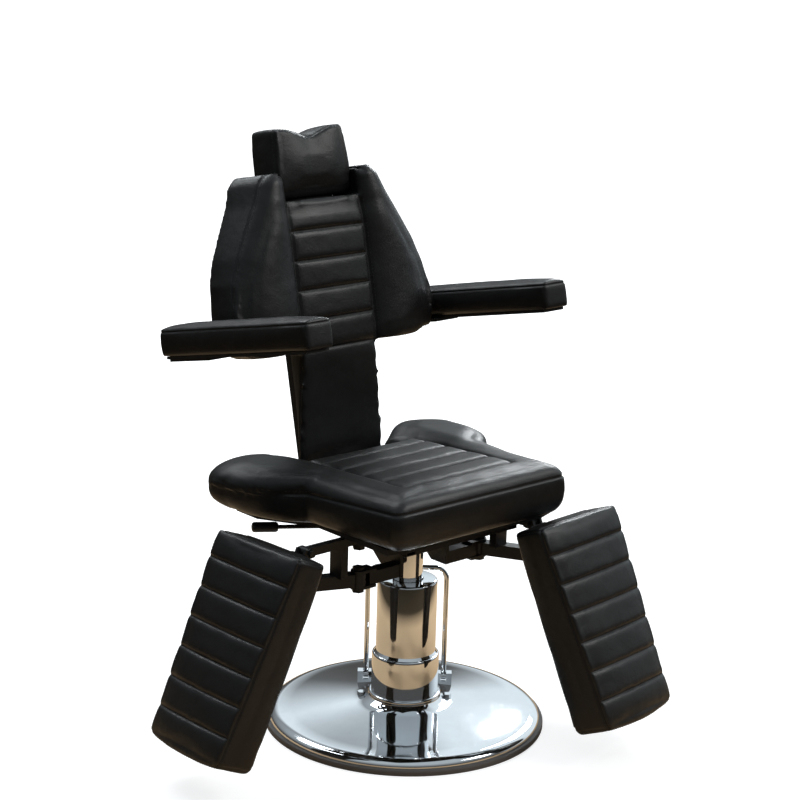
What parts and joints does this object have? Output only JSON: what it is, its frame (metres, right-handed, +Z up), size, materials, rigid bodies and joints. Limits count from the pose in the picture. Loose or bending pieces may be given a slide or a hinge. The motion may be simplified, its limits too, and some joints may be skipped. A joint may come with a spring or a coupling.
{
  "type": "tattoo chair",
  "caption": "Upholstered tattoo chair with reclining back, lifting arms, height-adjustable headrest, separate swinging leg rests and a pedal-pumped hydraulic column on a round foot.",
  "frame": {"origin": "centre of the round foot's underside, on the floor", "axes": "+Z up, -Y towards the front where the sitter's legs are, +X to the right as seen from the front"},
  "size_m": [0.9616, 0.9124, 1.2369],
  "materials": {
    "leather_black": "satin black upholstery",
    "board_black": "plywood painted black",
    "frame_black": "black powder coat",
    "chrome": "polished chrome",
    "rubber_black": "black rubber",
    "steel": "bare steel",
    "plastic_black": "black knob"
  },
  "bodies": {
    "base": {"base_plate": "frame_black", "base_rubber_edge": "rubber_black", "base_dish": "chrome", "column_collar": "chrome", "column_cover": "chrome", "pump_body": "frame_black", "foot_bolts": "chrome", "pedal_pivot_blocks": "chrome"},
    "pedal": {"pump_pedal": "chrome"},
    "ram": {"lift_ram": "chrome"},
    "chair": {"swivel_saddle": "frame_black", "seat_frame": "frame_black", "leg_pivot_bolts": "frame_black", "back_hinge_pin": "steel", "gas_spring_cylinder": "frame_black", "seat_board": "board_black", "seat_cushion": "leather_black"},
    "back": {"back_frame": "frame_black", "back_board": "board_black", "back_cushion": "leather_black", "headrest_clamp_knob": "plastic_black", "arm_axle_caps": "plastic_black"},
    "gas_rod": {"gas_spring_rod": "steel"},
    "lever": {"release_lever": "frame_black", "lever_knob": "plastic_black"},
    "arm_left": {"arm_pad_left": "leather_black", "arm_board_left": "board_black", "arm_bracket_left": "frame_black"},
    "arm_right": {"arm_pad_right": "leather_black", "arm_board_right": "board_black", "arm_bracket_right": "frame_black"},
    "headrest": {"headrest_cushion": "leather_black", "headrest_board": "board_black", "headrest_bar": "frame_black"},
    "leg_arm_left": {"leg_carrier_left": "frame_black", "leg_stop_left": "rubber_black"},
    "leg_arm_right": {"leg_carrier_right": "frame_black", "leg_stop_right": "rubber_black"},
    "leg_rest_left": {"leg_hinge_strap_left": "frame_black", "leg_board_left": "board_black", "leg_cushion_left": "leather_black", "knee_pin_left": "frame_black"},
    "leg_rest_right": {"leg_hinge_strap_right": "frame_black", "leg_board_right": "board_black", "leg_cushion_right": "leather_black", "knee_pin_right": "frame_black"}
  },
  "joints": [
    {"name": "pedal_swing", "type": "hinge", "parent": "base", "child": "pedal", "pos_m": [0.06022, 0.06688, 0.062], "axis": [-0.7431, 0.6691, 0], "range_deg": [0, 80]},
    {"name": "lift", "type": "slide", "parent": "base", "child": "ram", "axis": [0, 0, 1], "range_m": [0, 0.15]},
    {"name": "swivel", "type": "hinge", "parent": "ram", "child": "chair", "pos_m": [0, 0, 0.385], "axis": [0, 0, 1], "continuous": true},
    {"name": "back_recline", "type": "hinge", "parent": "chair", "child": "back", "pos_m": [0, 0.269, 0.424], "axis": [-1, 0, 0], "range_deg": [0, 65]},
    {"name": "gas_spring", "type": "slide", "parent": "chair", "child": "gas_rod", "axis": [0, -1, 0], "range_m": [0, 0.04338]},
    {"name": "release", "type": "hinge", "parent": "chair", "child": "lever", "pos_m": [-0.056, 0.096, 0.421], "axis": [-0.4587, -0.8886, 0], "range_deg": [0, 5], "stiffness_Nm_per_rad": 8, "springref_deg": -5.73},
    {"name": "arm_lift_left", "type": "hinge", "parent": "back", "child": "arm_left", "pos_m": [0, 0.3556, 0.81144], "axis": [-1, 0, 0], "range_deg": [0, 75]},
    {"name": "arm_lift_right", "type": "hinge", "parent": "back", "child": "arm_right", "pos_m": [0, 0.3556, 0.81144], "axis": [-1, 0, 0], "range_deg": [0, 75]},
    {"name": "headrest_slide", "type": "slide", "parent": "back", "child": "headrest", "axis": [0, 0.2181, 0.9759], "range_m": [0, 0.06]},
    {"name": "leg_swing_left", "type": "hinge", "parent": "chair", "child": "leg_arm_left", "pos_m": [-0.171, -0.037, 0.364], "axis": [0, 0, 1], "range_deg": [-5, 89]},
    {"name": "leg_swing_right", "type": "hinge", "parent": "chair", "child": "leg_arm_right", "pos_m": [0.171, -0.037, 0.364], "axis": [0, 0, 1], "range_deg": [-7, 83]},
    {"name": "leg_raise_left", "type": "hinge", "parent": "leg_arm_left", "child": "leg_rest_left", "pos_m": [-0.31099, -0.03871, 0.452], "axis": [-0.0122, 0.9999, 0], "range_deg": [0, 18]},
    {"name": "leg_raise_right", "type": "hinge", "parent": "leg_arm_right", "child": "leg_rest_right", "pos_m": [0.18806, -0.17596, 0.452], "axis": [-0.9925, -0.1219, 0], "range_deg": [0, 18]}
  ],
  "couplings": [
    {"joint": "gas_spring", "follows": "back_recline", "m_per_rad": 0.037889}
  ]
}
